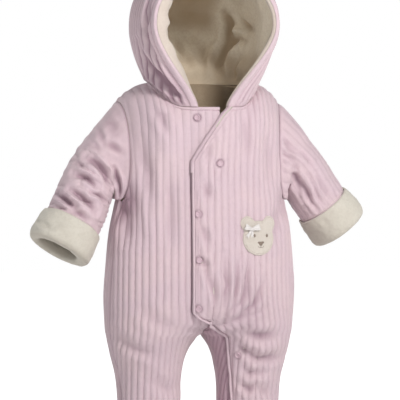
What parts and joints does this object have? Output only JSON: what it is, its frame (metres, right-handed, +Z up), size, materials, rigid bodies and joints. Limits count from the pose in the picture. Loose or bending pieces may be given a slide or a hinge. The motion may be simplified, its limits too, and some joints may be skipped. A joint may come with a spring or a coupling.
{
  "type": "baby snowsuit",
  "caption": "Hooded one-piece baby snowsuit in pink ribbed velour, lined with cream fleece, with a snap placket, turned-back cuffs and a bear patch.",
  "frame": {"origin": "the base of the neck, midway between the shoulder seams, where the wearer's shoulders carry the suit", "axes": "+Z up towards the hood's crown, -Y out of the front, +X towards the wearer's left sleeve"},
  "size_m": [0.4454, 0.1934, 0.6733],
  "materials": {
    "velour": "soft matt pile in vertical ribs",
    "velour_facing": "soft matt, deeper pink",
    "fleece": "matt brushed fleece",
    "snap_resin": "satin",
    "ribbon": "satin weave"
  },
  "bodies": {
    "root": {"front_right": "velour", "front_left": "velour", "back_right": "velour", "back_left": "velour", "leg_underlap": "velour_facing", "placket_binding": "velour", "neckline_facing": "fleece", "hood_right": "velour", "hood_left": "velour", "hood_band_right": "velour", "hood_band_left": "velour", "hood_lining_right": "fleece", "hood_lining_left": "fleece", "nape_lining_right": "fleece", "nape_lining_left": "fleece", "sleeve_right": "velour", "sleeve_left": "velour", "cuff_right": "fleece", "cuff_left": "fleece", "snap_1": "snap_resin", "snap_2": "snap_resin", "snap_3": "snap_resin", "snap_4": "snap_resin", "snap_5": "snap_resin", "snap_6": "snap_resin", "bear_head": "fleece", "bear_bow": "ribbon"}
  },
  "joints": []
}
